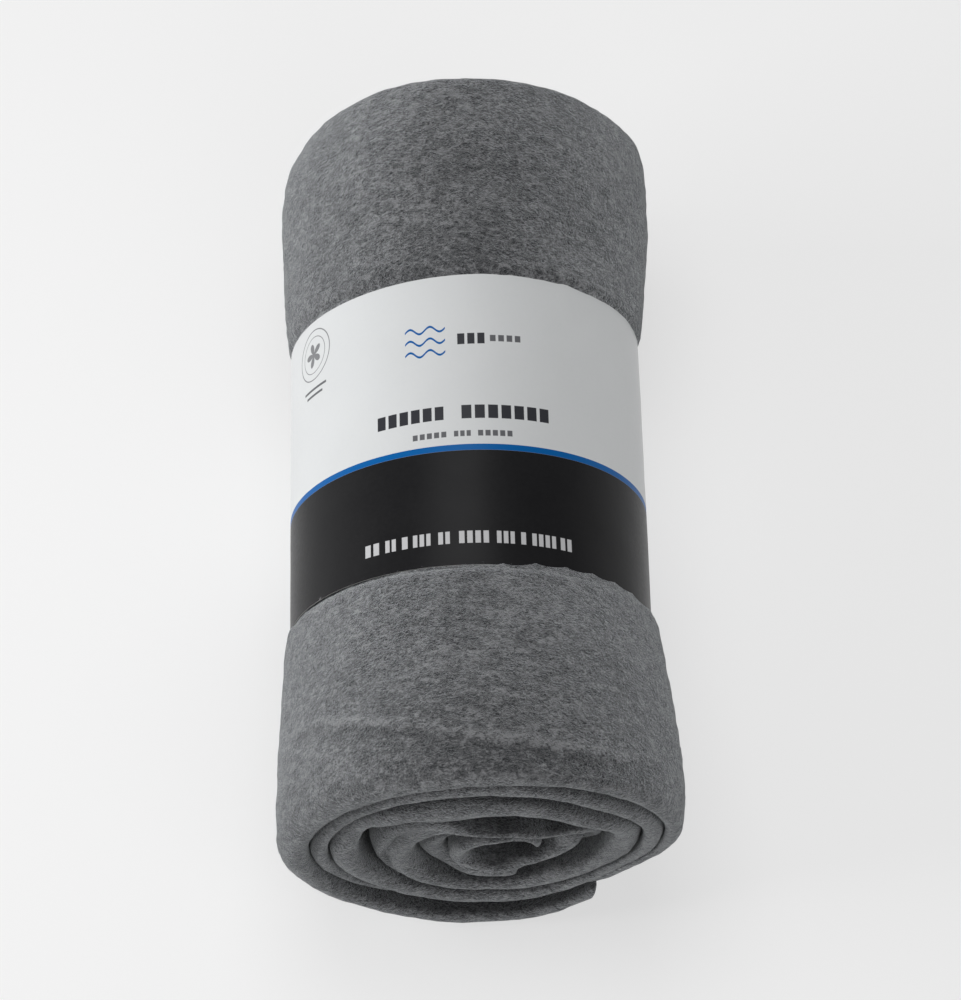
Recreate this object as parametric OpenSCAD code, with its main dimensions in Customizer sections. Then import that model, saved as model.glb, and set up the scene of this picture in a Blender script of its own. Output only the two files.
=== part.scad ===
// Fleece throw, folded in quarters lengthways, rolled up and held by a printed paper sleeve.
// The roll lies on its side along Y on the plane z = 0. Its spiral end faces -Y and the
// front of the sleeve faces +Z. The sleeve slides off the roll along Y.

/* [Throw] */
// Width of the throw when it is spread out flat
throw_w = 1270; // [1200:10:1300]
// Length of the throw when it is spread out flat
throw_l = 1524; // [1450:4:1600]
// Length that the rounded folds take from the folded strip
fold_loss = 7.5; // [5:0.5:12]

/* [Roll] */
// Diameter of the rolled throw inside the sleeve
roll_d = 143.6; // [138:0.2:148]
// Radius of the hollow in the middle of the spiral
eye_r = 11; // [8:0.5:14]
// Room left between two turns of the folded strip
turn_gap = 1.1; // [1:0.1:1.6]
// Depth by which the underside is pressed flat
flat_depth = 3.5; // [2:0.5:6]
// Direction of the strip's outer end, seen from the spiral end: 0 is +X and 90 is up
end_angle = -42; // [-60:1:-30]
// Share of a turn over which the roll steps in beside its outer end
step_share = 0.16; // [0.1:0.02:0.3]

/* [Paper sleeve] */
// Length of the sleeve along the roll
sleeve_l = 127; // [110:1:140]
// Distance of the sleeve's middle from the middle of the roll
sleeve_shift = 2; // [-10:1:10]
// Thickness of the printed paper
paper_t = 0.35; // [0.25:0.05:0.5]
// Free room between the paper and the roll
clearance = 0.3; // [0.2:0.05:0.5]
// Direction of the lapped seam, seen from the spiral end
seam_angle = 214; // [200:2:222]
// Angle over which the two paper ends lap
lap_angle = 14; // [12:2:20]
// Thickness of the glue in the lap
glue_t = 0.2; // [0.15:0.05:0.3]

/* [Care label] */
// Width of the care label along the edge of the throw
label_w = 24; // [18:1:30]
// Length of the care label from its sewn end to its folded end
label_l = 24; // [18:1:30]
// Length of the label that shows past the end of the roll
label_out = 10; // [6:1:12]
// Thickness of the folded ribbon that makes the label
label_t = 0.4; // [0.3:0.05:0.4]
// Number of stitches across the label
stitches = 7; // [5:1:9]
// Thickness of the sewing thread
thread_t = 0.3; // [0.2:0.05:0.3]

/* [Hidden] */

// Folding the throw in half twice gives a strip of this many layers
layers = 4;
roll_r = roll_d / 2;
roll_l = throw_w / layers - fold_loss;
// The rolled strip fills the section, so its length sets the distance between turns
turn_pitch = PI * (roll_r * roll_r - eye_r * eye_r) / throw_l;
turns = (roll_r - eye_r) / turn_pitch;
strip_t = turn_pitch - turn_gap;
axis_z = roll_r - flat_depth + clearance + paper_t;
roll_y = -label_out / 2;
roll_end_y = roll_y + roll_l / 2;
sleeve_y = roll_y + sleeve_shift;
// Spacing of the points along the throw's strip and along the paper
strip_step_deg = 5;
paper_step_deg = 2;
// Room that keeps the label and its thread clear of the faces they lie on
hair = 0.1;

// Smooth step from 0 to 1
function ease(x) = x <= 0 ? 0 : x >= 1 ? 1 : x * x * (3 - 2 * x);

// Point in direction a on the roll's section, a circle with a flat underside,
// grown by a height all round
function section_r(a, grow = 0) =
    sin(a) < 0 ? min(roll_r + grow, (roll_r - flat_depth + grow) / -sin(a)) : roll_r + grow;
function on_section(a, grow = 0) = section_r(a, grow) * [cos(a), sin(a)];

// Depth of the strip's outer face under the section after t turns: it steps in once a turn
function inset(t) = turn_pitch * (floor(t) + ease((t - floor(t) - 1 + step_share) / step_share));

// Point after t turns of the spiral, at a depth under the strip's outer face
function on_strip(t, depth) =
    on_section(end_angle - 360 * t) * (roll_r - inset(t) - depth) / roll_r;

// Area between two lines of points that run side by side
module band(outer, inner) {
    polygon(concat(outer, [for (i = [len(inner) - 1:-1:0]) inner[i]]));
}

// Solid of a section, from one place to another along the roll
module along(from_y, to_y) {
    translate([0, to_y, axis_z])
        rotate([90, 0, 0])
            linear_extrude(to_y - from_y)
                children();
}

// Area that follows the spiral from turn t0 to turn t1, between two depths
module strip_area(t0, t1, depth0, depth1) {
    n = ceil((t1 - t0) * 360 / strip_step_deg);
    ts = [for (i = [0:n]) t0 + (t1 - t0) * i / n];
    band([for (t = ts) on_strip(t, depth0)], [for (t = ts) on_strip(t, depth1)]);
}

// The whole throw is one cloth, folded to four layers and rolled up as one strip
module throw() {
    color("dimgray")
        along(roll_y - roll_l / 2, roll_end_y)
            strip_area(0, turns, 0, strip_t);
}

// Height that the outer end of the paper gains to lie over its inner end
lap_step = paper_t + glue_t;
ramp_deg = 10;
function lap_lift(a) = lap_step * ease((a - seam_angle - 360 + ramp_deg) / ramp_deg);

// Line of points round the paper at a height over the roll, with the corners of the flat
function corner(height) = acos((roll_r - flat_depth + height) / (roll_r + height));
function paper_line(height) = [
    for (a = [seam_angle:paper_step_deg:seam_angle + 360 + lap_angle])
        for (b = nearest_corner(a, corner(height))) on_section(b, height + lap_lift(b))
];
// The direction itself, and the corner that follows it before the next direction
function nearest_corner(a, c) =
    concat([a], [for (b = [270 - c, 270 + c]) if (b > a && b < a + paper_step_deg) b]);

// One strip of printed paper round the roll, its outer end lapped over its inner end
module paper_sleeve() {
    color("whitesmoke")
        along(sleeve_y - sleeve_l / 2, sleeve_y + sleeve_l / 2)
            band(paper_line(clearance + paper_t), paper_line(clearance));
}

// Glue between the two paper ends
module sleeve_glue() {
    edge = 4;
    lap = [for (a = [seam_angle + 2 * paper_step_deg:paper_step_deg:seam_angle + lap_angle - 4]) a];
    color("wheat")
        along(sleeve_y - sleeve_l / 2 + edge, sleeve_y + sleeve_l / 2 - edge)
            band([for (a = lap) on_section(a, clearance + lap_step)],
                 [for (a = lap) on_section(a, clearance + paper_t)]);
}

// The label lies on the inner face of the strip, beside the throw's outer corner.
// It starts this share of a turn from the strip's end and stays clear of the flat underside.
label_t0 = 0.015;
label_turn = label_w / (2 * PI * (roll_r - strip_t));
label_depth = strip_t + hair;
label_end_y = roll_end_y + label_out;
module care_label() {
    color("white")
        along(label_end_y - label_l, label_end_y)
            strip_area(label_t0, label_t0 + label_turn, label_depth, label_depth + label_t);
}

// Row of stitches across the label's inner end
module care_label_thread() {
    stitch_y = label_end_y - label_l + 3;
    stitch_w = 0.6;
    stitch_depth = label_depth + label_t + hair;
    step = label_turn / stitches;
    color("gainsboro")
        along(stitch_y, stitch_y + stitch_w)
            for (i = [0:stitches - 1])
                strip_area(label_t0 + step * (i + 0.15), label_t0 + step * (i + 0.85),
                           stitch_depth, stitch_depth + thread_t);
}

throw();
paper_sleeve();
sleeve_glue();
care_label();
care_label_thread();
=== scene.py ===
# Looks of the rolled fleece throw and its printed paper sleeve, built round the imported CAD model.
# Sizes are in millimetres here and become metres where the meshes are made. X is right, +Y is away
# from the camera and Z is up. The spiral end is the near end, at -Y.
import math

import bpy
import numpy as np
from mathutils import Matrix, Vector


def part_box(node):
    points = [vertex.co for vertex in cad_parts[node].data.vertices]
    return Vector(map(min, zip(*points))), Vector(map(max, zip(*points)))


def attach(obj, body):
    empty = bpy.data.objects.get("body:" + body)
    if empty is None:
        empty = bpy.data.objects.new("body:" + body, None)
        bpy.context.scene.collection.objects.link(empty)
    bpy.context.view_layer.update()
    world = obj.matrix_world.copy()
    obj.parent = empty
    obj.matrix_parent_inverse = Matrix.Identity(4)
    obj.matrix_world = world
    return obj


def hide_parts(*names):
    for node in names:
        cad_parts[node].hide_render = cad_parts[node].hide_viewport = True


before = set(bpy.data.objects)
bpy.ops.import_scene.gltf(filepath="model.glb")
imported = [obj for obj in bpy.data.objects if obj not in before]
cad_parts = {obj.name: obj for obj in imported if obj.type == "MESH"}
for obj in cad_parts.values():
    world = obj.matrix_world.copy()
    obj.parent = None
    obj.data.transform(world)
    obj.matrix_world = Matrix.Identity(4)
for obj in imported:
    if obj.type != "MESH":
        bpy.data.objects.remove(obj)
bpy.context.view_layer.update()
MM = 0.001

# ---- sizes from the frame


def node_box(name):
    """Lowest and highest corner of a CAD node, in millimetres."""
    low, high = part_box(name)
    return np.array(low) / MM, np.array(high) / MM


ROLL_LOW, ROLL_HIGH = node_box("throw")
SLEEVE_LOW, SLEEVE_HIGH = node_box("paper_sleeve")
# Thickness of the paper and the room between it and the roll, as in the CAD model
PAPER_T = 0.35
CLEARANCE = 0.3
ROLL_R = (ROLL_HIGH[0] - ROLL_LOW[0]) / 2
AXIS_Z = ROLL_HIGH[2] - ROLL_R
NEAR_Y = ROLL_LOW[1]
FAR_Y = ROLL_HIGH[1]
SLEEVE_NEAR = SLEEVE_LOW[1]
SLEEVE_FAR = SLEEVE_HIGH[1]

# ---- curves through chosen points


def through(x, points):
    """Smooth curve through given (x, value) points, flat outside them."""
    px, pv = np.array(points, float).T
    slope = np.diff(pv) / np.diff(px)
    tangent = np.concatenate([[0], (slope[1:] + slope[:-1]) / 2, [0]])
    steep = 3 * np.minimum(np.abs(np.append(slope, slope[-1])), np.abs(np.insert(slope, 0, slope[0])))
    turned = np.append(slope, 0) * np.insert(slope, 0, 0) <= 0
    tangent = np.where(turned, 0, np.clip(tangent, -steep, steep))
    x = np.clip(np.asarray(x, float), px[0], px[-1])
    i = np.clip(np.searchsorted(px, x, side="right") - 1, 0, len(px) - 2)
    h = px[i + 1] - px[i]
    s = (x - px[i]) / h
    a = pv[i] + h * tangent[i] * s * (1 - s) ** 2
    ease = s * s * (3 - 2 * s)
    return a + (pv[i + 1] - pv[i]) * ease - h * tangent[i + 1] * s * s * (1 - s)


def round_through(angle, points):
    """The same curve for a value that repeats every 360 degrees."""
    angle = np.mod(angle, 360)
    wrapped = [(a + turn, v) for turn in (-360, 0, 360) for a, v in points]
    return through(angle, wrapped)


def smooth(x):
    """Smooth step from 0 to 1."""
    x = np.clip(x, 0, 1)
    return x * x * (3 - 2 * x)


def soft_min(a, b, width):
    """The smaller of two values, with a rounded change-over."""
    h = np.clip(0.5 + (b - a) / (2 * width), 0, 1)
    return b + (a - b) * h - width * h * (1 - h)


# ---- repeatable random noise


class Noise:
    """Value noise on a cubic lattice, the same on every run."""

    def __init__(self, seed):
        self.table = np.random.default_rng(seed).random(4096).astype(np.float32) * 2 - 1

    def at(self, points, size):
        """Noise from -1 to 1 whose lumps are about that size."""
        p = points / size
        cell = np.floor(p).astype(np.int64)
        f = p - cell
        f = f * f * (3 - 2 * f)
        total = np.zeros(len(points))
        for corner in range(8):
            step = np.array([corner & 1, (corner >> 1) & 1, corner >> 2])
            c = cell + step
            key = (c[:, 0] * 73856093) ^ (c[:, 1] * 19349663) ^ (c[:, 2] * 83492791)
            weight = np.prod(np.where(step == 1, f, 1 - f), axis=1)
            total += weight * self.table[key & 4095]
        return total


# ---- shape of the roll

END_ANGLE = -42.0
TURNS = 5.86
LAYERS = 4
LAYER_GAP = 0.15

# Outline of the near end: distance from its middle by direction, 0 is +X and 90 is up
NEAR_MIDDLE = (2.4, 74.5)
NEAR_OUTLINE = (
    (0, 80.5), (30, 83), (60, 81.5), (90, 79.5), (120, 79.8), (150, 79.3), (180, 80.2),
    (210, 77.6), (235, 74.8), (255, 75.3), (270, 75), (290, 74.5), (306, 73), (318, 71.5),
    (330, 73), (345, 76.5),
)
FAR_MIDDLE = (1.5, 73.6)
FAR_OUTLINE = (
    (0, 77.3), (45, 75), (90, 75), (115, 76), (135, 74.5), (180, 76.3), (225, 76), (270, 74.5),
    (315, 72),
)
# How far the outline draws in where it rounds over the rims, by direction
NEAR_ROUND = ((0, 7), (40, 5), (90, 5), (140, 3), (180, 2), (230, 1), (270, 1), (320, 4))
FAR_ROUND = ((0, 6), (45, 6), (90, 3), (130, 6), (165, 10), (190, 9), (230, 6), (300, 5))
ROUND_LENGTH = 22.0
FAR_ROUND_LENGTH = 32.0

# The eye of the spiral
NEAR_EYE = (8.0, 71.0)
WAIST_EYE = (4.0, 69.0)
FAR_EYE = (3.0, 73.0)

# The strip's outer face at the near end, by turns from its outer end: 1 is on the outline
# and 0 is the middle of the eye. The last turn is the wall of the eye.
STRIP_FACE = (
    (0, 1), (0.76, 1), (0.86, 0.98), (0.906, 0.915), (0.94, 0.875), (0.97, 0.867), (1, 0.862),
    (1.133, 0.845), (1.26, 0.845), (1.383, 0.852), (1.51, 0.86), (1.633, 0.882), (1.7, 0.865),
    (1.76, 0.845), (1.85, 0.885), (1.906, 0.845), (1.95, 0.80), (2, 0.765),
    (2.133, 0.73), (2.26, 0.745), (2.383, 0.765), (2.51, 0.77), (2.633, 0.735), (2.76, 0.7),
    (2.85, 0.765), (2.906, 0.755), (2.95, 0.72), (3, 0.68),
    (3.086, 0.575), (3.133, 0.53), (3.26, 0.56), (3.383, 0.575), (3.45, 0.615), (3.5, 0.625), (3.535, 0.6),
    (3.57, 0.48), (3.6, 0.39), (3.633, 0.355), (3.76, 0.355), (3.8, 0.42), (3.84, 0.51),
    (3.88, 0.56), (3.92, 0.57), (3.96, 0.54), (4, 0.48), (4.06, 0.42),
    (4.133, 0.39), (4.26, 0.385), (4.383, 0.36), (4.51, 0.3), (4.633, 0.275), (4.76, 0.28),
    (4.8, 0.33), (4.84, 0.41), (4.88, 0.46), (4.92, 0.41), (4.96, 0.33), (5, 0.27), (5.056, 0.22),
    (5.133, 0.187), (5.26, 0.19), (5.383, 0.22), (5.51, 0.23), (5.633, 0.225), (5.76, 0.225),
    (5.86, 0.25), (6, 0.12), (6.133, 0.09), (6.26, 0.1), (6.383, 0.135), (6.633, 0.16), (6.86, 0.18),
)
# Room between this turn and the next one inside it
STRIP_GAP = (
    (0, 1), (0.133, 1), (0.383, 0.6), (0.633, 0.7), (0.7, 3), (0.76, 3.5), (0.83, 1.2), (0.87, 0.3),
    (1, 0.3), (1.133, 0.7), (1.633, 0.8), (1.76, 1.5), (1.83, 0.8), (1.88, 0.3), (2, 0.3),
    (2.133, 0.8), (2.3, 1.2), (2.383, 4.5), (2.47, 2), (2.55, 1.5), (2.64, 16), (2.76, 18),
    (2.84, 8), (2.88, 0.5), (3.133, 0.8), (3.5, 0.8), (3.62, 4), (3.76, 3.5), (3.85, 0.8),
    (3.93, 6), (4.03, 6), (4.08, 1), (4.133, 0.8), (4.633, 0.8), (4.85, 3), (4.95, 0.8), (5.86, 0.5),
)
# Place of each turn's folded edge at the near end
STRIP_FRONT = (
    (0, -160.5), (0.05, -162.5), (0.133, -164), (0.26, -163), (0.383, -161), (0.51, -160),
    (0.633, -160), (0.76, -159), (0.86, -158.5), (0.95, -158.3), (1, -157.5),
    (1.06, -153), (1.133, -153), (1.2, -155.5), (1.26, -158), (1.383, -159.5), (1.51, -159),
    (1.633, -159.8), (1.76, -159.5), (1.86, -158.7), (1.95, -158.5), (2, -159.5), (2.06, -161),
    (2.133, -162.3),
    (2.26, -162), (2.383, -161.5), (2.46, -158.5), (2.52, -161.5), (2.6, -162), (2.76, -162.5), (2.86, -159),
    (2.95, -158.5), (3, -159.5), (3.133, -161.5), (3.26, -161.5), (3.383, -160.5), (3.51, -160.5),
    (3.633, -162.5), (3.76, -161), (3.82, -157.5), (3.87, -153), (3.92, -149.5), (3.97, -148), (4.02, -148),
    (4.055, -150), (4.08, -160), (4.133, -160.5), (4.2, -159.5), (4.28, -156.5), (4.45, -156),
    (4.6, -153), (4.76, -152), (4.84, -156), (4.9, -158.5), (5, -161), (5.133, -162.5),
    (5.26, -162), (5.633, -160.5), (5.86, -158),
)
# Where the end of a turn is pressed flat against its neighbours: 0 is round and 1 is flat
STRIP_FLATNESS = (
    (0.83, 0), (0.89, 1), (1, 0.9), (1.05, 0), (1.84, 0), (1.89, 1), (2, 0.9), (2.06, 0),
    (2.86, 0), (2.92, 0.8), (3.02, 0.6), (3.1, 0),
)
# A crease along the folded edge: its turns, its place across the strip and its depth
CREASE = (3.25, 3.6)
CREASE_ACROSS = (
    (3.3, 0.24), (3.35, 0.29), (3.383, 0.34), (3.45, 0.44), (3.535, 0.52), (3.57, 0.4), (3.6, 0.2),
)
CREASE_WIDTH = 0.085
CREASE_DEPTH = 3.5
# Place of each turn's folded edge at the far end, where the turns lie more evenly
STRIP_BACK = (
    (0, 149), (0.2, 151), (0.45, 149.5), (0.7, 150.5), (1, 147.5), (1.3, 149), (1.6, 151),
    (2, 150), (2.4, 147.5), (2.8, 150.5), (3.2, 149.5), (3.7, 151.5), (4.2, 149), (4.7, 151),
    (5.3, 150), (5.86, 148.5),
)
# How far the outline has grown from the waist under the sleeve towards an end, by distance
# from the sleeve's edge as a share of the way
BULGE = ((0, 0), (0.035, 0.33), (0.1, 0.43), (0.2, 0.55), (0.4, 0.72), (0.6, 0.85), (0.8, 0.95), (1, 1))
NEAR_BULGE_LENGTH = 76.0
FAR_BULGE_LENGTH = 62.0


def bulge(y):
    """Share of the near and of the far end's shape at a place along the roll."""
    near = through((SLEEVE_NEAR - y) / NEAR_BULGE_LENGTH, BULGE)
    far = through((y - SLEEVE_FAR) / FAR_BULGE_LENGTH, BULGE)
    return near, far


def mixed(near, waist, far, y):
    """A value that goes from the near end's to the waist's to the far end's."""
    a, b = bulge(y)
    return waist + (near - waist) * a + (far - waist) * b


def outline(angle, y):
    """Distance of the roll's outline from its middle."""
    near, far = (round_through(angle, points) for points in (NEAR_OUTLINE, FAR_OUTLINE))
    r = mixed(near, ROLL_R - 0.2, far, y)
    u = np.clip((NEAR_Y - 3 + ROUND_LENGTH - y) / ROUND_LENGTH, 0, 0.98)
    r = r - round_through(angle, NEAR_ROUND) * (1 - np.sqrt(1 - u * u))
    v = np.clip((y - FAR_Y + FAR_ROUND_LENGTH) / FAR_ROUND_LENGTH, 0, 0.98)
    r = r - round_through(angle, FAR_ROUND) * (1 - np.sqrt(1 - v * v))
    under_paper = 1 - np.clip(sum(bulge(y)) / 0.24, 0, 1)
    floor_z = 0.25 + under_paper * (PAPER_T + CLEARANCE)
    rise = np.sin(np.radians(angle))
    to_floor = (middle(y)[1] - floor_z) / np.maximum(-rise, 1e-3)
    return np.where(rise < 0, soft_min(r, to_floor, 1.5), r)


def middle(y):
    """Middle of the outline."""
    return tuple(mixed(*values, y) for values in zip(NEAR_MIDDLE, (0.0, AXIS_Z), FAR_MIDDLE))


def eye(y):
    """Middle of the spiral's eye."""
    return tuple(mixed(*values, y) for values in zip(NEAR_EYE, WAIST_EYE, FAR_EYE))


# Size of the far end's eye as a share of the outline
EVEN_EYE = 0.15
# Share of a turn over which an even spiral steps in
STEP_SHARE = 0.16
# Where the near end's spiral starts to even out, and over what length
EVEN_START = -130
EVEN_LENGTH = 150


def even_face(t):
    """The strip's outer face in an even spiral, as in the CAD model."""
    pitch = (1 - EVEN_EYE) / TURNS
    part = t - np.floor(t)
    return 1 - pitch * (np.floor(t) + smooth((part - 1 + STEP_SHARE) / STEP_SHARE))


def near_share(y):
    """Share of the near end's uneven spiral; the far end's is even."""
    return 1 - smooth((y - EVEN_START) / EVEN_LENGTH)


def face(t, y):
    """Place of the strip's outer face between the eye and the outline."""
    s = near_share(y)
    return s * through(t, STRIP_FACE) + (1 - s) * even_face(t)


def reach(t, y):
    """Distance from the eye's middle to the outline in the direction of t, and both points."""
    angle = END_ANGLE - 360 * t
    r, a = outline(angle, y), np.radians(angle)
    mx, mz = middle(y)
    ex, ez = eye(y)
    ox, oz = mx + r * np.cos(a), mz + r * np.sin(a)
    return np.hypot(ox - ex, oz - ez), (ox, oz), (ex, ez)


def strip_thickness(t, y):
    """Thickness of the four layers, which fill the room up to the next turn but for a gap."""
    s = near_share(y)
    room = (face(t, y) - face(t + 1, y)) * reach(t, y)[0]
    return np.maximum(room - s * through(t, STRIP_GAP) - (1 - s) * 0.8, 3.0)


# Turns by which the strip's inner layers start before its outer ones
END_SLANT = 0.046


def slanted(t, share):
    """Turn of a point near the strip's slanted outer end. share is its depth from 0 to 1."""
    return t + END_SLANT * (1 - share) * (1 - smooth(t / 0.1))


def place(t, y, depth):
    """Point of the roll at turn t, place y and a depth under the strip's outer face."""
    length, (ox, oz), (ex, ez) = reach(t, y)
    w = face(t, y) - depth / length
    return np.stack(np.broadcast_arrays(ex + (ox - ex) * w, y, ez + (oz - ez) * w), axis=-1)


# ---- the throw's mesh
#
# The cloth's section is a band that runs through the four layers: it starts at a cut edge at the
# far end, comes to the near end on the inside of the strip, turns over there to the outer layer,
# folds again at the far end, then once more inside the first fold, and ends at the far end.
# The band is swept along the spiral. Parts that nothing shows are made of larger faces.

# Steps between the cloth's points: in view, under the paper, and at the ends and in the middle
# of hidden layers
FINE = 1.6
UNDER_PAPER = 3.4
HIDDEN_END = 2
HIDDEN = 38
# Turns at which the next turn starts to lie over the strip's outer face and hides it
OPEN_TURNS = (0.98, 1.03)
# The flat layers stop at the folds, this far from the two ends
NEAR_FOLD = 5
FAR_FOLD = 4
LAYER_NEAR = NEAR_Y + NEAR_FOLD
LAYER_FAR = FAR_Y - FAR_FOLD
# Length over which a layer takes up the shift of its folds
FOLD_BLEND = 45
# Length of the hidden layers that shows at the ends
VISIBLE_END = 16.0
# Depth in a gap at which the painted shade on the cloth is at its darkest
TUCK_DEPTH = 3.2


def run(a, b, step):
    """Evenly spaced places from a to b, without b."""
    n = max(1, round(abs(b - a) / step))
    return [a + (b - a) * i / n for i in range(n)]


def layer_places(in_view):
    """Places along Y of one layer's points, which are close together towards both ends."""
    a, b, ends, between = LAYER_NEAR + VISIBLE_END, LAYER_FAR - VISIBLE_END, HIDDEN_END, HIDDEN
    if in_view:
        a, b, ends, between = SLEEVE_NEAR + 3, SLEEVE_FAR - 3, FINE, UNDER_PAPER
    return run(LAYER_NEAR, a, ends) + run(a, b, between) + run(b, LAYER_FAR, ends) + [LAYER_FAR]


def band_stations():
    """The band's stations in order: (kind, value, fine) with fine for what can be seen."""
    inner = layer_places(False)
    outer = layer_places(True)

    def seen(y, near, far):
        return y < LAYER_NEAR + near or y > LAYER_FAR - far

    stations = [("edge4", 0, True)]
    stations += [("layer4", y, seen(y, 11, 5)) for y in reversed(inner)]
    stations += [("fold_out", a, True) for a in np.linspace(0, 180, 12)[1:-1]]
    stations += [("layer1", y, True) for y in outer]
    stations += [("fold_far", a, True) for a in np.linspace(0, 180, 8)[1:-1]]
    stations += [("layer2", y, seen(y, -99, 3)) for y in reversed(inner)]
    stations += [("fold_in", a, False) for a in (45, 90, 135)]
    stations += [("layer3", y, seen(y, -99, 3)) for y in inner]
    stations += [("edge3", 0, True)]
    return stations


def band_point(kind, value, side, t, thick, front, back):
    """Place along Y and depth of one side of the band at a station, for every t."""
    c = (thick - 3 * LAYER_GAP) / LAYERS
    g = LAYER_GAP
    layer = int(kind[-1]) if kind[-1].isdigit() else 1
    layer_depth = (layer - 0.5) * c + (layer - 1) * g
    outward = -1 if layer % 2 else 1
    fold_y = front + thick / 2
    if kind.startswith("layer"):
        towards_near = 1 - smooth((value - LAYER_NEAR) / FOLD_BLEND)
        towards_far = 1 - smooth((LAYER_FAR - value) / FOLD_BLEND)
        y = value + (fold_y - LAYER_NEAR) * towards_near + (back - FAR_Y) * towards_far
        return y, layer_depth + side * outward * c / 2
    if kind.startswith("edge"):
        return back - FAR_FOLD + c * 0.4, layer_depth + side * outward * c * 0.25
    a = math.radians(value)
    if kind == "fold_out":
        r = (thick - c) / 2 + side * c / 2
        depth = thick / 2 + r * math.cos(a)
        blunt = 1 - 0.7 * through(t, STRIP_FLATNESS)
        y = fold_y - r * math.sin(a) ** blunt
        inside = smooth((t - CREASE[0]) / 0.14) * smooth((CREASE[1] - t) / 0.1)
        across = through(t, CREASE_ACROSS)
        crease = np.exp(-(((depth / thick - across) / CREASE_WIDTH) ** 2))
        return y + CREASE_DEPTH * inside * crease, depth
    if kind == "fold_far":
        r = (c + g) / 2 + side * c / 2
        return back - FAR_FOLD + r * math.sin(a), c + g / 2 - r * math.cos(a)
    r = (c + g) / 2 - side * c / 2
    return fold_y - r * math.sin(a), 2 * c + 1.5 * g - r * math.cos(a)


def covered(t):
    """1 where the next turn lies over the strip's outer face, and 0 where that is open."""
    start, end = OPEN_TURNS
    return smooth((t - start) / (end - start))


def painted_gap_shade(t, thick, front, back, y, depth):
    """Painted shade for the cloth in the gaps between turns, from how deep it lies there: 0 is open to the
    light and 1 is hidden and darkest in the fleece's colour.
    """
    behind = np.minimum(y - front - 0.6, back - y - 2.3)
    hidden = smooth(behind / TUCK_DEPTH) * (1 - through(t, STRIP_FLATNESS))
    open_side = (1 - covered(t)) * (depth < thick / 2)
    in_eye = 0.5 * smooth((t - 4.9) / 0.2)
    return hidden * (1 - open_side) * smooth(t / 0.02) * (1 - in_eye)


def smooth_pile_and_lit(kind, t):
    """1 where the pile lies smooth, on folded edges and between turns, and 0 on the open side. The fleece's
    colour gives it a calmer grain there and a little painted light, which stands for the folded edges
    catching the light.
    """
    return covered(t) if kind == "layer1" else np.ones_like(t)


def turns_along():
    """Turns at which the band is placed, evenly spaced along the strip's length."""
    t = np.linspace(0, TURNS, 4000)
    p = place(t, np.full_like(t, NEAR_Y), 0)
    length = np.concatenate([[0], np.cumsum(np.linalg.norm(np.diff(p, axis=0), axis=1))])
    first = np.interp(OPEN_TURNS[1], t, length)
    fine = np.arange(0, first, FINE)
    rest = np.linspace(first, length[-1], round((length[-1] - first) / 2.1))
    return np.interp(np.concatenate([fine, rest]), length, t)


# Rounded ends of the strip: length of a turn there, length of the rounding and its thinnest share
OUTER_NOSE = (430, 7, 0.4)
INNER_NOSE = (90, 4, 0.7)


def nose(t):
    """Share of the strip's thickness near its two ends, which are rounded."""
    shares = []
    for away, (turn_length, rounding, least) in ((t, OUTER_NOSE), (TURNS - t, INNER_NOSE)):
        part = np.clip(away * turn_length / rounding, 0, 1)
        shares.append(least + (1 - least) * np.sqrt(1 - (1 - part) ** 2))
    return np.minimum(*shares)


def throw_grid():
    """Points of the whole band, [station round the band, turn], and which stations are fine."""
    ts = turns_along()
    front = through(ts, STRIP_FRONT)
    back = through(ts, STRIP_BACK)
    near_thick = strip_thickness(ts, np.full_like(ts, NEAR_Y))
    far_thick = strip_thickness(ts, np.full_like(ts, FAR_Y))
    stations = band_stations()
    rows, fine, hidden, calm = [], [], [], []
    for side in (1, -1):
        for kind, value, seen in stations if side == 1 else reversed(stations):
            thick = near_thick if kind in ("fold_out", "fold_in") else far_thick
            if kind.startswith("layer"):
                s = near_share(value)
                thick = near_thick * s + far_thick * (1 - s)
                room = strip_thickness(ts, np.full_like(ts, value))
                thick = np.where(value < NEAR_Y + 30, thick, np.minimum(thick, room))
            y, depth = band_point(kind, value, side, ts, thick, front, back)
            y = y + np.zeros_like(ts)
            depth = thick / 2 + (depth - thick / 2) * nose(ts)
            rows.append(place(slanted(ts, depth / thick), y, depth))
            # Painted shade for the gaps between turns, kept for the fleece's colour
            hidden.append(painted_gap_shade(ts, thick, front, back, y, depth))
            # Smoothness of the pile and painted light on the folded edges, kept for the fleece's colour
            calm.append(smooth_pile_and_lit(kind, ts))
            fine.append(seen and (side == 1 or kind.startswith("edge")))
    return np.array(rows), {"painted_gap_shade": np.array(hidden), "smooth_pile_and_lit": np.array(calm)}, fine, ts, stations


# Steps along the strip and rows along the roll that one coarse face covers
COARSE_TURN_STEPS = 9
COARSE_GROUP = 8


def column_groups(stations, fine, all_coarse_middle):
    """Splits the cells round the band into single fine ones and groups of coarse ones."""
    n = len(fine)
    kinds, places, _ = zip(*stations, *reversed(stations))
    groups, i = [], 0

    def coarse(k):
        a, b = k, (k + 1) % n
        hidden = not (fine[a] and fine[b])
        middle_part = (
            all_coarse_middle
            and kinds[a] == kinds[b] == "layer1"
            and LAYER_NEAR + 11 < (places[a] + places[b]) / 2 < LAYER_FAR - 5
        )
        return hidden or middle_part

    while i < n:
        if not coarse(i):
            groups.append((i, i + 1, True))
            i += 1
            continue
        last = i + 1
        flat = kinds[i].startswith("layer")
        while (
            flat and last < n and last - i < COARSE_GROUP and coarse(last)
            and kinds[last] == kinds[i] and kinds[(last + 1) % n] == kinds[i]
            and abs(places[(last + 1) % n] - places[i]) < 45
        ):
            last += 1
        groups.append((i, last, False))
        i = last
    return groups


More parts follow.
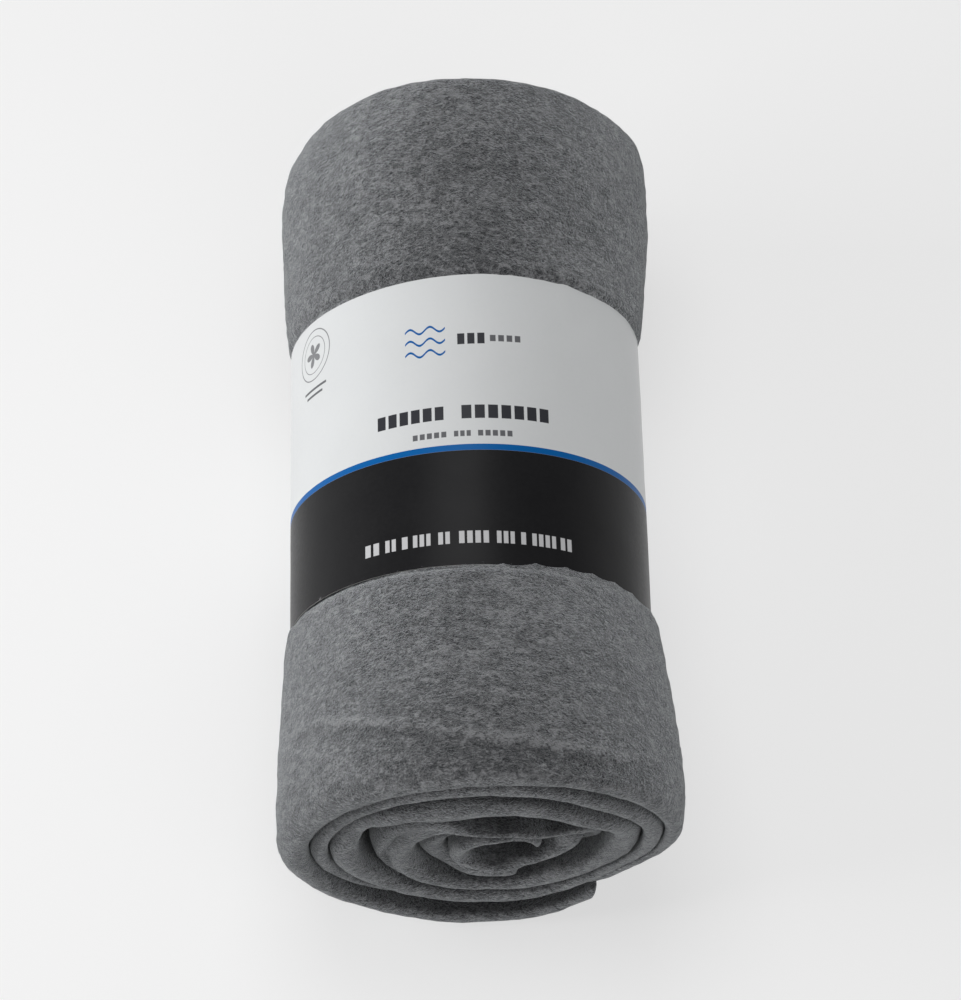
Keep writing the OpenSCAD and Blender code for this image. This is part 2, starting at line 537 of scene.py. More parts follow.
def band_blocks(stations, fine, ts):
    """Rectangles (i0, i1, j0, j1) of the grid that become one face each."""
    first_turn = int(np.searchsorted(ts, OPEN_TURNS[1]))
    count = len(ts) - 1
    blocks = []
    for j_low, j_high, hide_middle in ((0, first_turn, False), (first_turn, count, True)):
        for i0, i1, single in column_groups(stations, fine, hide_middle):
            step = 1 if single else COARSE_TURN_STEPS
            j = j_low
            while j < j_high:
                blocks.append((i0, i1, j, min(j + step, j_high)))
                j += step
    return blocks


def band_faces(blocks, n, count):
    """Faces of the blocks. A large face also has the corners that its small neighbours have."""
    used = np.zeros((n, count), bool)
    for i0, i1, j0, j1 in blocks:
        for i in (i0 % n, i1 % n):
            used[i, j0] = used[i, j1] = True
    used[:, 0] = used[:, -1] = True
    faces = []
    for i0, i1, j0, j1 in blocks:
        ring = [(i % n, j0) for i in range(i0, i1)]
        ring += [(i1 % n, j) for j in range(j0, j1)]
        ring += [(i % n, j1) for i in range(i1, i0, -1)]
        ring += [(i0 % n, j) for j in range(j1, j0, -1)]
        faces.append([p for p in ring if used[p]])
    half = n // 2
    for j in (0, count - 1):
        for i in range(half - 1):
            face = [(i, j), (i + 1, j), (n - 2 - i, j), (n - 1 - i, j)]
            faces.append(face if j else face[::-1])
    return faces, used


def added(name, data):
    """New object in the scene."""
    thing = bpy.data.objects.new(name, data)
    bpy.context.scene.collection.objects.link(thing)
    return thing


def new_object(name, points, faces, material):
    """Mesh object from points in millimetres."""
    mesh = bpy.data.meshes.new(name)
    mesh.from_pydata([tuple(p) for p in np.asarray(points) * MM], [], faces)
    mesh.validate()
    mesh.update()
    mesh.polygons.foreach_set("use_smooth", [True] * len(mesh.polygons))
    mesh.materials.append(material)
    return added(name, mesh)


def volume(points, faces):
    """Signed volume of a closed mesh."""
    total = 0.0
    for f in faces:
        a = points[f[0]]
        for k in range(1, len(f) - 1):
            total += np.dot(a, np.cross(points[f[k]], points[f[k + 1]]))
    return total / 6


def facing_out(points, faces):
    """Faces of a closed mesh, all turned over if they face inwards."""
    return [f[::-1] for f in faces] if volume(points, faces) < 0 else faces


PILE = Noise(11)


def make_throw(material):
    """The whole throw as one closed cloth."""
    grid, shares, fine, ts, stations = throw_grid()
    n, count = grid.shape[:2]
    faces, used = band_faces(band_blocks(stations, fine, ts), n, count)
    index = np.full((n, count), -1)
    index[used] = np.arange(used.sum())
    points = grid[used]
    faces = facing_out(points, [[int(index[p]) for p in face] for face in faces])
    cloth = new_object("throw_fleece", points, faces, material)
    kinds, _, _ = zip(*stations, *reversed(stations))
    row = np.array([fine[i] * (0.3 if kinds[i] == "layer4" else 1.0) for i in range(n)])
    inner_turns = np.where(ts > 1.0, 0.35, 1.0)
    folds = np.array([k.startswith("fold") for k in kinds])
    soften = row[:, None] * np.where(folds[:, None], 0.7, inner_turns[None, :])
    raise_pile(cloth, points, soften[used])
    for name, values in shares.items():
        set_share(cloth, name, values[used])
    # The crease's height is also kept for the fleece's colour, which paints its ridge lighter and its hollow
    # darker as painted light and shade
    set_share(cloth, "painted_crease_light_and_shade", ridge(points))
    return cloth


def set_share(thing, name, values):
    """Stores a value for each point of a mesh, which its material reads."""
    layer = thing.data.attributes.new(name, "FLOAT", "POINT")
    layer.data.foreach_set("value", values.astype(np.float32))


# A soft crease across the top of the near part: its place along the roll, by direction
RIDGE = ((35, -141), (53, -145), (66, -145), (78, -144), (98, -140), (112, -134), (128, -128), (150, -121))


def ridge(points):
    """Height of the crease, with a hollow beside it."""
    mx, mz = NEAR_MIDDLE
    angle = np.degrees(np.arctan2(points[:, 2] - mz, points[:, 0] - mx))
    away = points[:, 1] - through(angle, RIDGE)
    ends = smooth((angle - 30) / 25) * smooth((160 - angle) / 25)
    return ends * (0.7 * np.exp(-((away / 1.8) ** 2)) - 0.45 * np.exp(-(((away + 6) / 4.0) ** 2)))


def raise_pile(cloth, points, amount):
    """Gives the visible cloth its tufts and soft hollows."""
    mesh = cloth.data
    normals = np.zeros(len(mesh.vertices) * 3, np.float32)
    mesh.vertices.foreach_get("normal", normals)
    normals = normals.reshape(-1, 3)
    tufts = 0.30 * PILE.at(points, 3.2) + 0.22 * PILE.at(points + 77, 6.5)
    hollows = 0.6 * PILE.at(points + 31, 19) + 0.8 * PILE.at(points * (0.6, 1.4, 0.6) + 59, 40)
    hollows += ridge(points)
    free = smooth(np.maximum(SLEEVE_NEAR - points[:, 1], points[:, 1] - SLEEVE_FAR) / 4 + 0.3)
    moved = points + normals * ((tufts * (0.3 + 0.7 * free) + hollows * free) * amount)[:, None]
    moved[:, 2] = np.maximum(moved[:, 2], 0.1)
    mesh.vertices.foreach_set("co", (moved * MM).astype(np.float32).ravel())
    mesh.update()


# ---- the paper sleeve

SEAM_ANGLE = 214
LAP_ANGLE = 14
GLUE_T = 0.2
RAMP_ANGLE = 10
# The sleeve is a little wider at its near edge than at its far edge
CONE = 0.8
# Its edges lie askew: how far they go along Y towards +X at each edge
NEAR_SKEW = 0.3
FAR_SKEW = 2.9
PAPER_RADIUS = ROLL_R + CLEARANCE + PAPER_T
SLEEVE_ROWS = 47
SLEEVE_STEP_ANGLE = 2.0


def sleeve_angles():
    """Directions of the sleeve's points, from its inner end round to its outer end."""
    return np.arange(SEAM_ANGLE, SEAM_ANGLE + 360 + LAP_ANGLE + 1, SLEEVE_STEP_ANGLE)


def sleeve_point(angle, v, height):
    """Point at a height over the roll's waist. v is the place along the sleeve."""
    a = np.radians(angle)
    turn = (1 + np.sin(a)) / 2
    share = (v - SLEEVE_NEAR) / (SLEEVE_FAR - SLEEVE_NEAR)
    lap = (PAPER_T + GLUE_T) * smooth((angle - SEAM_ANGLE - 360 + RAMP_ANGLE) / RAMP_ANGLE)
    grow = height + lap + CONE * (1 - 2 * share) * turn
    r = ROLL_R + grow
    down = np.maximum(-np.sin(a), 1e-3)
    r = np.where(np.sin(a) < 0, soft_min(r, (AXIS_Z - PAPER_T - CLEARANCE + height + lap) / down, 1.5), r)
    y = v + (NEAR_SKEW + (FAR_SKEW - NEAR_SKEW) * share) * np.cos(a)
    return np.stack(np.broadcast_arrays(r * np.cos(a), y, AXIS_Z + r * np.sin(a)), axis=-1)


def shell(outer, inner):
    """Points and faces of a closed thin shell between two grids of points."""
    n, m = outer.shape[:2]
    points = np.concatenate([outer.reshape(-1, 3), inner.reshape(-1, 3)])
    faces = []
    for i in range(n - 1):
        for j in range(m - 1):
            a = i * m + j
            cell = (a, a + 1, a + m + 1, a + m)
            faces += [cell, tuple(n * m + k for k in reversed(cell))]
    rim = [(i, 0) for i in range(n)] + [(n - 1, j) for j in range(1, m)]
    rim += [(i, m - 1) for i in range(n - 2, -1, -1)] + [(0, j) for j in range(m - 2, 0, -1)]
    for (i0, j0), (i1, j1) in zip(rim, rim[1:] + rim[:1]):
        a, b = i0 * m + j0, i1 * m + j1
        faces.append((a, b, n * m + b, n * m + a))
    return points, facing_out(points, faces)


CRINKLE = Noise(5)


def paper_dents(points, angle, v):
    """Soft outward dents of the paper, and a small buckle at its far edge."""
    soft = 0.16 * (1 + CRINKLE.at(points, 34)) + 0.05 * (1 + CRINKLE.at(points + 9, 9))
    edge = np.exp(-(((angle - 415) / 3.0) ** 2)) * smooth((v - SLEEVE_FAR + 14) / 14)
    return soft + 0.5 * edge


def make_sleeve(material):
    """The strip of paper, wrapped round the roll with its outer end lapped over its inner end."""
    angles = sleeve_angles()
    places = np.linspace(SLEEVE_NEAR, SLEEVE_FAR, SLEEVE_ROWS)
    a, v = np.meshgrid(angles, places, indexing="ij")
    lift = paper_dents(sleeve_point(a, v, 0).reshape(-1, 3), a.ravel(), v.ravel()).reshape(a.shape)
    lift = lift * smooth((np.sin(np.radians(a)) + 0.7) / 0.5)
    outer = sleeve_point(a, v, CLEARANCE + PAPER_T + lift)
    inner = sleeve_point(a, v, CLEARANCE + lift)
    paper = new_object("sleeve_paper", *shell(outer, inner), material)
    sharpen_rim(paper)
    # Unrolled coordinates in metres: u goes round from the top towards +X, v along the sleeve
    u = (450 - a) * math.pi / 180 * PAPER_RADIUS
    lay_flat(paper, "unrolled", u, v)
    return paper


def lay_flat(thing, name, u, v):
    """UV map of a shell from the flat places of its outer grid, which its inner grid shares."""
    flat = np.stack([u.ravel(), v.ravel()], axis=-1) * MM
    uv = np.concatenate([flat, flat])
    layer = thing.data.uv_layers.new(name=name)
    corners = np.zeros(len(thing.data.loops), np.int32)
    thing.data.loops.foreach_get("vertex_index", corners)
    layer.data.foreach_set("uv", uv[corners].astype(np.float32).ravel())


def sharpen_rim(thing, degrees=40):
    """Keeps edges between faces that meet at a steep angle sharp."""
    thing.data.set_sharp_from_angle(angle=math.radians(degrees))


def make_glue(material):
    """Thin bead of glue between the two ends of the paper."""
    angles = np.linspace(SEAM_ANGLE + 3, SEAM_ANGLE + LAP_ANGLE - 3, 5) + 360
    places = np.linspace(SLEEVE_NEAR + 4, SLEEVE_FAR - 4, 30)
    a, v = np.meshgrid(angles, places, indexing="ij")
    wavy = a + 1.2 * np.sin(v / 7.0) * np.sign(a - angles.mean())
    outer = sleeve_point(wavy, v, CLEARANCE - 0.01)
    inner = sleeve_point(wavy, v, CLEARANCE - GLUE_T + 0.01)
    return new_object("sleeve_glue_bead", *shell(outer, inner), material)


# ---- the care label

# Turn at which the label starts, and its width there. It runs from its sewn end to its fold.
LABEL_START = 0.015
LABEL_W = 24.0
LABEL_SPIRAL_R = 64
LABEL_INNER_Y = 136.0
LABEL_END_Y = 159.6
RIBBON_T = 0.12
# Half of the distance between the ribbon's two halves
RIBBON_GAP = 0.16
STITCHES = 7
STITCH_Y = 139.3
THREAD_R = 0.15


def label_point(across, y, height):
    """Point on the inner face of the strip beside the throw's outer corner."""
    t = LABEL_START + across * LABEL_W / (2 * math.pi * LABEL_SPIRAL_R)
    return place(t, y, strip_thickness(t, y) + height)


def make_label(material):
    """Satin ribbon folded in two, its cut ends sewn down and its fold showing past the roll."""
    across = np.linspace(0, 1, 15)
    out = np.linspace(LABEL_INNER_Y, LABEL_END_Y - 0.3, 26)
    turn = np.linspace(-90, 90, 7)[1:-1]
    bend_y = out[-1] + RIBBON_GAP * np.cos(np.radians(turn))
    y = np.concatenate([out, bend_y, out[::-1]])
    h = np.concatenate([0 * out - RIBBON_GAP, RIBBON_GAP * np.sin(np.radians(turn)), 0 * out + RIBBON_GAP])
    a, yy = np.meshgrid(across, y, indexing="ij")
    curl = 1.1 * smooth((yy - 150) / 10) * np.cos(a * math.pi * 1.5)
    hh = np.broadcast_to(h, yy.shape) + 0.35 + curl
    outer = label_point(a, yy, hh)
    normal = np.cross(np.gradient(outer, axis=0), np.gradient(outer, axis=1))
    normal /= np.maximum(np.linalg.norm(normal, axis=-1, keepdims=True), 1e-9)
    ribbon = shell(outer + normal * RIBBON_T / 2, outer - normal * RIBBON_T / 2)
    label = new_object("care_label_ribbon", *ribbon, material)
    sharpen_rim(label, 50)
    lay_flat(label, "ribbon", a * LABEL_W, yy - LABEL_INNER_Y)
    return label


def ring_faces(rings, sides):
    """Faces between rings of points that follow each other."""
    pairs = [(k, (k + 1) % sides) for k in range(sides)]
    rows = np.arange(rings - 1) * sides
    return [(i + a, i + b, i + b + sides, i + a + sides) for i in rows.tolist() for a, b in pairs]


def tube(path, radius, sides=6):
    """Points and faces of a closed tube along a path."""
    path = np.asarray(path, float)
    along = np.gradient(path, axis=0)
    along /= np.linalg.norm(along, axis=1, keepdims=True)
    side = np.cross(along, [0, 1, 0])
    side /= np.linalg.norm(side, axis=1, keepdims=True)
    up = np.cross(side, along)
    turn = np.arange(sides)[:, None] * 2 * math.pi / sides
    ends = np.ones(len(path))
    ends[[0, -1]] = 0.55
    ring = side[:, None] * np.cos(turn) + up[:, None] * np.sin(turn)
    points = (path[:, None] + ring * radius * ends[:, None, None]).reshape(-1, 3)
    last = (len(path) - 1) * sides
    caps = [tuple(range(sides))[::-1], tuple(range(last, last + sides))]
    return points, caps[:1] + ring_faces(len(path), sides) + caps[1:]


def make_stitches(material):
    """Row of straight stitches that hold the label's two ends."""
    points, faces = [], []
    for i in range(STITCHES):
        across = (i + np.linspace(0.12, 0.88, 7)) / STITCHES
        arch = 0.72 + 0.12 * np.sin(np.linspace(0, math.pi, 7))
        path = label_point(across, np.full(7, STITCH_Y), arch)
        p, f = tube(path, THREAD_R)
        start = sum(len(q) for q in points)
        points.append(p)
        faces += [tuple(k + start for k in face) for face in f]
    points = np.concatenate(points)
    return new_object("label_stitches", points, facing_out(points, faces), material)


# ---- materials


class Look:
    """A material with short calls for the shader nodes it is made of. Sizes are in millimetres."""

    def __init__(self, name, roughness, colour=(0.5, 0.5, 0.5)):
        self.material = bpy.data.materials.new(name)
        self.material.use_nodes = True
        self.nodes = self.material.node_tree.nodes
        self.shader = self.nodes["Principled BSDF"]
        self.set("Roughness", roughness)
        self.set("Base Color", (*colour, 1))

    def set(self, socket, value):
        self.put(self.shader.inputs[socket], value)

    def put(self, socket, value):
        if isinstance(value, bpy.types.NodeSocket):
            self.material.node_tree.links.new(value, socket)
        else:
            socket.default_value = value

    def node(self, kind, **inputs):
        """New shader node with some of its inputs set."""
        node = self.nodes.new("ShaderNode" + kind)
        for name, value in inputs.items():
            self.put(node.inputs[name], value)
        return node

    def places(self, stretch=(1, 1, 1)):
        """Place on the object in millimetres, stretched along its axes."""
        scale = self.node("VectorMath")
        scale.operation = "MULTIPLY"
        self.put(scale.inputs[0], self.node("TexCoord").outputs["Object"])
        self.put(scale.inputs[1], tuple(1000 * k for k in stretch))
        return scale.outputs[0]

    def flat(self, name):
        """Unrolled place in millimetres, as two values."""
        uv = self.node("UVMap")
        uv.uv_map = name
        split = self.node("SeparateXYZ", Vector=uv.outputs[0])
        return self.times(split.outputs[0], 1000), self.times(split.outputs[1], 1000)

    def share(self, name):
        """Value that the mesh holds for each of its points."""
        node = self.node("Attribute")
        node.attribute_name = name
        return node.outputs["Fac"]

    def math(self, operation, a, b=0.0, clamp=False):
        node = self.node("Math")
        node.operation = operation
        node.use_clamp = clamp
        self.put(node.inputs[0], a)
        self.put(node.inputs[1], b)
        return node.outputs[0]

    def times(self, a, b, clamp=False):
        return self.math("MULTIPLY", a, b, clamp)

    def plus(self, a, b, clamp=False):
        return self.math("ADD", a, b, clamp)

    def minus(self, a, b, clamp=False):
        return self.math("SUBTRACT", a, b, clamp)

    def noise(self, where, size, detail=2.0, roughness=0.5, bend=0.0):
        inputs = {"Vector": where, "Scale": 1 / size, "Detail": detail}
        node = self.node("TexNoise", **inputs, Roughness=roughness, Distortion=bend)
        return node.outputs["Fac"]

    def ridges(self, where, size, bend):
        """Thin winding lines, as of fibres."""
        n = self.noise(where, size, 1.0, 0.4, bend)
        off = self.math("ABSOLUTE", self.minus(n, 0.5))
        return self.minus(1, self.times(off, 14), clamp=True)

    def ramp(self, value, stops):
        node = self.node("ValToRGB", Fac=value)
        elements = node.color_ramp.elements
        while len(elements) < len(stops):
            elements.new(0.5)
        for element, (at, colour) in zip(elements, stops):
            element.position = at
            element.color = (*colour, 1)
        return node.outputs[0]

    def mix(self, share, a, b):
        node = self.node("Mix")
        node.data_type = "RGBA"
        self.put(node.inputs["Factor"], share)
        self.put(node.inputs["A"], a)
        self.put(node.inputs["B"], b)
        return node.outputs["Result"]

    def bump(self, height, strength, distance):
        node = self.node("Bump", Height=height, Strength=strength, Distance=distance * MM)
        self.set("Normal", node.outputs[0])

    def total(self, *weighted):
        """Sum of (value, weight) pairs about their middle of 0.5, plus 0.5."""
        total = 0.5
        for value, weight in weighted:
            total = self.plus(total, self.times(self.minus(value, 0.5), weight))
        return total

    def within(self, value, low, high, soft=0.15):
        """1 where value lies between low and high, with a narrow soft edge."""
        middle_at, half = (low + high) / 2, (high - low) / 2
        off = self.math("ABSOLUTE", self.minus(value, middle_at))
        return self.plus(self.math("DIVIDE", self.minus(half, off), soft), 0.5, clamp=True)


def fleece_material():
    """Brushed knit: short matted fibres in soft clumps, dark between them and silvery at grazing angles. Its
    colour also holds painted shade in the gaps between turns and painted light on the folded edges and on
    the crease.
    """
    look = Look("fleece", 0.95)
    at = look.places((0.8, 1.35, 0.8))
    fibres = look.noise(at, 1.0, 3.0, 0.62, 0.9)
    tangle = look.noise(at, 2.1, 2.0, 0.5, 1.2)
    clumps = look.noise(at, 4.6, 2.0, 0.5, 0.6)
    wide = look.noise(at, 38.0, 1.0)
    curls = look.ridges(at, 1.7, 1.6)
    specks = look.times(look.minus(0.42, look.noise(at, 2.3, 1.0)), 8, clamp=True)
    calm = look.minus(1, look.times(look.share("smooth_pile_and_lit"), 0.25))
    grain = look.total((fibres, 1.3), (tangle, 1.45), (clumps, 0.9), (wide, 0.3))
    grain = look.plus(grain, look.times(curls, 0.2))
    grain = look.minus(grain, look.times(specks, 0.1))
    shade = look.total((grain, calm))
    # Painted highlight and painted shade: the crease's ridge is lighter and the hollow beside it darker in
    # the colour
    shade = look.plus(shade, look.times(look.share("painted_crease_light_and_shade"), 0.36))
    # Painted light: the folded edges at the ends, and the layers between turns, are a little lighter in the
    # colour
    shade = look.plus(shade, look.times(look.share("smooth_pile_and_lit"), 0.06))
    colour = look.ramp(
        shade,
        ((0.12, (0.022, 0.023, 0.025)), (0.5, (0.077, 0.078, 0.082)), (0.9, (0.245, 0.248, 0.256))),
    )
    # Painted shade: the cloth deep in the gaps between turns is darkened towards black in its colour
    depth = look.times(look.share("painted_gap_shade"), 0.78)
    look.set("Base Color", look.mix(depth, colour, (0.012, 0.012, 0.013, 1)))
    height = look.total((fibres, 0.9), (tangle, 0.8), (curls, 0.25))
    look.bump(height, 0.85, 1.5)
    look.set("Sheen Weight", 0.75)
    look.set("Sheen Roughness", 0.42)
    look.set("Sheen Tint", (0.93, 0.97, 1.0, 1))
    look.set("Specular IOR Level", 0.15)
    return look.material


WHITE = (0.64, 0.652, 0.657, 1)
BLACK = (0.009, 0.009, 0.010, 1)
BLUE = (0.002, 0.10, 0.33, 1)
INK = (0.035, 0.036, 0.042, 1)
MID_INK = (0.12, 0.122, 0.13, 1)
PALE_INK = (0.34, 0.345, 0.355, 1)

# The printed layout, in millimetres on the unrolled sleeve: u from the top towards +X, v along Y.
# All words are bars, and the marks are plain shapes of no meaning.
STRIPE = (-17.3, -14.7)
# Each row of words is its bars, the pitch and width of its blocks, and its ink.
WORDS = (
    ((-3.5, 2.4, ((-36, -8.5), (-1.5, 34))), 5.2, 3.9, INK),
    ((29.4, 34.2, ((-2.5, 8.5),)), 3.6, 2.6, INK),
    ((-11.2, -8.7, ((-21, -7.5), (-4.6, 2), (4.8, 18.5))), 2.7, 1.9, MID_INK),
    ((30.4, 33.2, ((10.5, 23),)), 3.2, 2.2, MID_INK),
)
SIZE_LINE = (
    -57.3, -52.1,
    ((-42, -35.5), (-33, -28.5), (-26, -23.5), (-21.5, -14.5), (-11.5, -7),
     (-3.5, 8), (11, 18), (20.5, 22.5), (25, 35), (37, 42)),
)
CAPTION_LINES = ((29.0, 30.1, ((-80, -63.5),)), (26.2, 27.3, ((-78, -66),)))
BACK_LINES = tuple(
    (40 - 7 * k, 41.4 - 7 * k, ((150, 196 - 9 * (k % 3)), (200, 226 - 5 * (k % 2)))) for k in range(6)
)
ROUNDEL = (-72.5, 45.2, 11.2)
WAVES = (-15.5, 32.0, 8.2)
PANEL = (111, 149, -51, -29)
PANEL_BARS = 17


def bars(look, u, v, row, pitch=0.0, width=1.0):
    """Mask of a row of bars (low, high, ((from, to), ...)), cut into short blocks if pitch is set."""
    low, high, spans = row
    words = 0.0
    for start, end in spans:
        bar = look.within(u, start, end)
        if pitch:
            n = max(1, round((end - start + pitch - width) / pitch))
            step = (end - start + pitch - width) / n
            part = look.math("MODULO", look.minus(u, start - 10 * step), step)
            bar = look.times(bar, look.within(part, 0, width * step / pitch))
        words = look.plus(words, bar)
    return look.times(words, look.within(v, low, high), clamp=True)


def ring(look, distance, radius, width):
    return look.within(distance, radius - width / 2, radius + width / 2)


def roundel(look, u, v):
    """Mask of two thin rings round a plain rosette."""
    cu, cv, r = ROUNDEL
    du, dv = look.minus(u, cu), look.minus(v, cv)
    squares = look.plus(look.times(du, du), look.times(dv, dv))
    distance = look.math("SQRT", squares)
    direction = look.math("ARCTAN2", dv, du)
    petal = look.math("ABSOLUTE", look.math("SINE", look.times(direction, 2.5)))
    rosette = look.within(look.minus(distance, look.times(petal, 4.6)), -9, 1.0, 0.3)
    rings = look.plus(ring(look, distance, r, 0.5), ring(look, distance, r - 3.1, 0.35))
    return look.plus(rings, rosette, clamp=True)


def waves(look, u, v):
    """Mask of three short waved strokes."""
    cu, cv, half = WAVES
    along = look.times(look.minus(u, cu), 0.77)
    sway = look.times(look.math("SINE", along), 1.3)
    level = look.minus(v, sway)
    strokes = 0.0
    for k in (-1, 0, 1):
        strokes = look.plus(strokes, look.within(level, cv + 5.2 * k - 0.5, cv + 5.2 * k + 0.5))
    return look.times(strokes, look.within(u, cu - half, cu + half), clamp=True)


def print_material():
    """Semi-gloss printed paper."""
    look = Look("printed_paper", 0.36)
    u, v = look.flat("unrolled")
    at = look.places()
    grain = look.noise(at, 1.6, 3.0, 0.6)
    cloudy = look.noise(at, 24.0, 2.0)
    paper = look.mix(look.total((grain, 0.5), (cloudy, 0.9)), WHITE, (0.60, 0.612, 0.617, 1))
    for row, pitch, width, ink in WORDS:
        paper = look.mix(bars(look, u, v, row, pitch, width), paper, ink)
    for row in (*CAPTION_LINES, *BACK_LINES):
        paper = look.mix(bars(look, u, v, row), paper, MID_INK)
    paper = look.mix(look.times(roundel(look, u, v), 0.85), paper, MID_INK)
    paper = look.mix(waves(look, u, v), paper, BLUE)

    black = look.mix(look.total((grain, 0.8), (cloudy, 1.2)), BLACK, (0.014, 0.014, 0.015, 1))
    black = look.mix(bars(look, u, v, SIZE_LINE, 3.1, 2.1), black, (0.50, 0.50, 0.51, 1))
    u0, u1, v0, v1 = PANEL
    panel = look.times(look.within(u, u0, u1), look.within(v, v0, v1))
    black = look.mix(panel, black, WHITE)
    step = (u1 - u0 - 6) / PANEL_BARS
    comb = look.math("SINE", look.times(look.minus(u, u0 + 3), 2 * math.pi / step))
    comb = look.times(comb, 3, clamp=True)
    comb_area = look.times(look.within(u, u0 + 3, u1 - 3), look.within(v, v0 + 3, v1 - 3))
    black = look.mix(look.times(comb, comb_area), black, INK)

    worn = look.times(look.minus(look.noise(at, 3.0, 4.0, 0.7), 0.62), 9, clamp=True)
    near_rim = look.within(v, SLEEVE_NEAR - 2, SLEEVE_NEAR + 0.9, 1.2)
    black = look.mix(look.times(worn, near_rim), black, PALE_INK)

    low, high = STRIPE
    colour = look.mix(look.within(v, -200, low, 0.12), paper, black)
    colour = look.mix(look.within(v, low, high, 0.12), colour, BLUE)
    look.set("Base Color", colour)
    look.set("Roughness", look.plus(0.27, look.times(grain, 0.16)))
    look.bump(look.total((grain, 0.25), (cloudy, 1.0)), 0.25, 0.35)
    look.set("Specular IOR Level", 0.1)
    return look.material


def card_material():
    """The paper's unprinted back and its cut edges."""
    look = Look("plain_paper", 0.8)
    at = look.places()
    pulp = look.noise(at, 0.8, 4.0, 0.65)
    specks = look.noise(at, 6.0, 2.0)
    shade = look.total((pulp, 0.9), (specks, 0.5))
    look.set("Base Color", look.ramp(shade, ((0.2, (0.60, 0.59, 0.565)), (0.8, (0.75, 0.745, 0.73)))))
    look.bump(pulp, 0.3, 0.1)
    return look.material


def glue_material():
    """Dried clear-yellow glue with small bubbles."""
    look = Look("glue", 0.3)
    at = look.places()
    film = look.noise(at, 4.0, 2.0)
    bubbles = look.noise(at, 0.7, 1.0)
    look.set("Base Color", look.ramp(film, ((0.3, (0.62, 0.54, 0.36)), (0.7, (0.72, 0.66, 0.50)))))
    look.set("Roughness", look.plus(0.2, look.times(bubbles, 0.3)))
    look.bump(bubbles, 0.4, 0.1)
    return look.material


LABEL_LINES = tuple((8.4 + 1.7 * k, 9.1 + 1.7 * k, ((3.0, 19.5 - 3.4 * (k % 3)),)) for k in range(8))


def ribbon_material():
    """White satin ribbon, woven fine across, with printed bars."""
    look = Look("satin_ribbon", 0.38)
    u, v = look.flat("ribbon")
    weft = look.math("SINE", look.times(v, 26.0))
    threads = look.plus(0.5, look.times(weft, 0.5))
    slubs = look.noise(look.places((0.3, 3, 0.3)), 1.2, 3.0)
    white = look.mix(look.total((threads, 0.5), (slubs, 0.8)), (0.80, 0.80, 0.79, 1), (0.68, 0.685, 0.69, 1))
    for row in LABEL_LINES:
        white = look.mix(bars(look, u, v, row), white, MID_INK)
    look.set("Base Color", white)
    look.set("Roughness", look.plus(0.3, look.times(slubs, 0.2)))
    look.bump(look.total((threads, 0.6), (slubs, 0.5)), 0.4, 0.05)
    look.set("Sheen Weight", 0.3)
    return look.material


def thread_material():
    """Twisted white sewing thread."""
    look = Look("thread", 0.6)
    at = look.places()
    plies = look.noise(at, 0.25, 1.0, 0.4, 1.5)
    look.set("Base Color", look.ramp(plies, ((0.3, (0.52, 0.52, 0.52)), (0.7, (0.74, 0.74, 0.73)))))
    look.bump(plies, 0.6, 0.06)
    return look.material


# ---- camera, light and floor

LENS = 153.9
CAMERA_TARGET = (5.13, -5.25, 68.95)
CAMERA_DISTANCE = 1739.0
CAMERA_ELEVATION = 65.15
CAMERA_ROLL = -1.45


def make_camera():
    data = bpy.data.cameras.new("camera")
    data.lens = LENS
    data.sensor_width = 36
    data.clip_end = 50
    camera = added("camera", data)
    e = math.radians(CAMERA_ELEVATION)
    forward = Vector((0, math.cos(e), -math.sin(e)))
    right = Vector((1, 0, 0))
    up = right.cross(forward)
    turn = math.radians(CAMERA_ROLL)
    c, s = math.cos(turn), math.sin(turn)
    right, up = right * c + up * s, up * c - right * s
    camera.matrix_world = Matrix(
        [(*row, 0) for row in np.array([right, up, -forward]).T] + [(0, 0, 0, 1)]
    )
    camera.location = (Vector(CAMERA_TARGET) - forward * CAMERA_DISTANCE) * MM
    bpy.context.scene.camera = camera


LIT_POINT = (0, 0, 0.07)


def area_light(name, place_at, size, power):
    data = bpy.data.lights.new(name, "AREA")
    data.shape = "RECTANGLE"
    data.size, data.size_y = size
    data.energy = power
    light = added(name, data)
    light.location = place_at
    light.rotation_mode = "QUATERNION"
    light.rotation_quaternion = (Vector(LIT_POINT) - Vector(place_at)).to_track_quat("-Z", "Y")


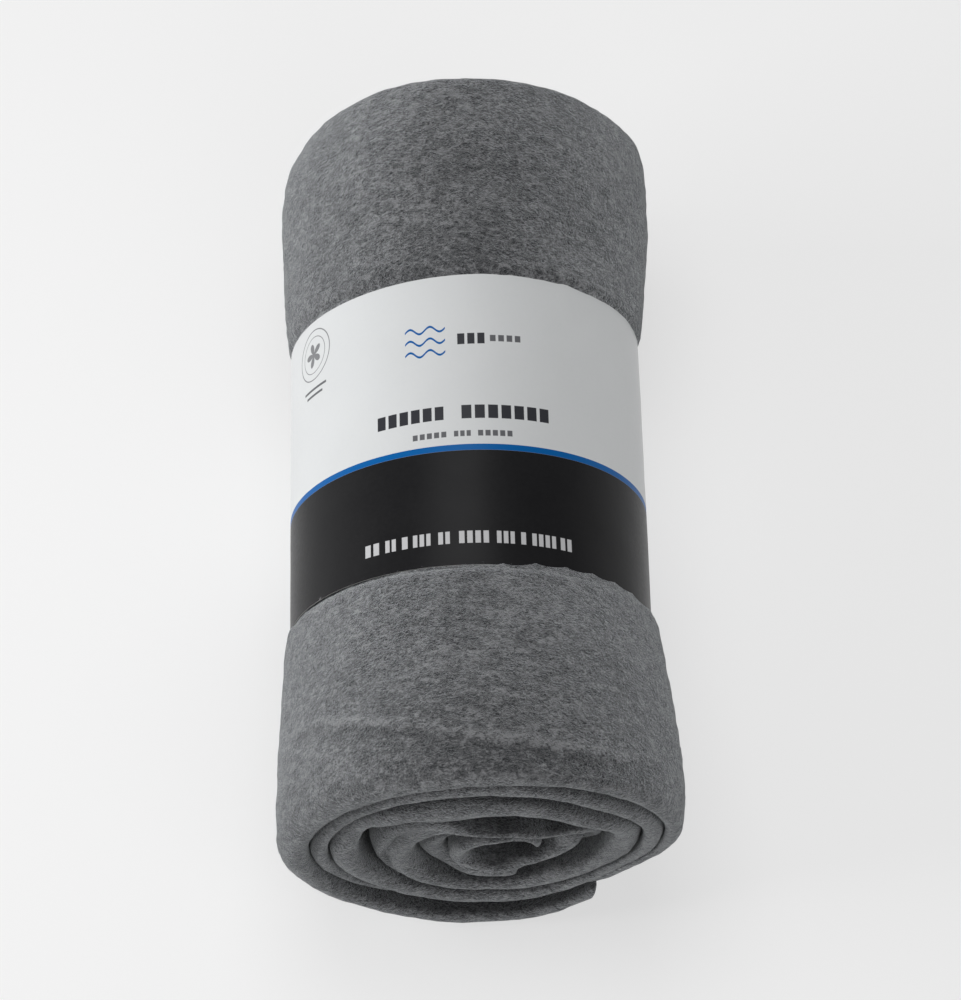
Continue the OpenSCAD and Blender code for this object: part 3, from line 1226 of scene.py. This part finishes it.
def make_lights():
    scene = bpy.context.scene
    scene.view_settings.view_transform = "Standard"
    scene.world = bpy.data.worlds.new("studio")
    scene.world.use_nodes = True
    backdrop = scene.world.node_tree.nodes["Background"]
    backdrop.inputs["Color"].default_value = (1, 1, 1, 1)
    backdrop.inputs["Strength"].default_value = 0.18
    area_light("key", (-1.1, -0.1, 0.5), (0.6, 0.9), 9.1)
    area_light("fill", (0.5, -0.9, 1.3), (1.0, 1.0), 3.6)
    area_light("top", (-0.1, 0.3, 1.5), (0.9, 0.9), 9.0)


# Radius and height of the floor: flat, and swept up far behind the object
FLOOR_PROFILE = (
    (3000, 0), (4000, 0), (4500, 20), (5000, 120), (5400, 350), (5650, 750), (5750, 1300),
)
FLOOR_SIDES = 96


def make_floor():
    look = Look("floor_paper", 0.9, (0.32, 0.32, 0.32))
    look.set("Emission Color", (1, 1, 1, 1))
    look.set("Emission Strength", 0.58)
    turns = np.arange(FLOOR_SIDES) * 2 * math.pi / FLOOR_SIDES
    points = [(r * math.cos(a), r * math.sin(a), z) for r, z in FLOOR_PROFILE for a in turns]
    faces = [f[::-1] for f in ring_faces(len(FLOOR_PROFILE), FLOOR_SIDES)]
    faces.append(tuple(range(FLOOR_SIDES)))
    new_object("floor", points, faces, look.material)


def print_outside_only(paper, back):
    """The inner face and the cut edges of the paper show the plain card."""
    paper.data.materials.append(back)
    # A shell's outer and inner faces come in turns, and the faces of its rim follow them
    cells = (len(sleeve_angles()) - 1) * (SLEEVE_ROWS - 1)
    index = np.ones(len(paper.data.polygons), np.int32)
    index[0 : 2 * cells : 2] = 0
    paper.data.polygons.foreach_set("material_index", index)


make_camera()
make_lights()
make_floor()

throw = make_throw(fleece_material())
paper = make_sleeve(print_material())
print_outside_only(paper, card_material())
glue = make_glue(glue_material())
label = make_label(ribbon_material())
stitches_row = make_stitches(thread_material())

for piece, body, node, slot in (
    (throw, "roll", "throw", "fleece"),
    (label, "roll", "care_label", "satin_ribbon"),
    (stitches_row, "roll", "care_label_thread", "thread"),
    (paper, "sleeve", "paper_sleeve", "printed_paper"),
    (glue, "sleeve", "sleeve_glue", "glue"),
):
    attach(piece, body)
    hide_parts(node)
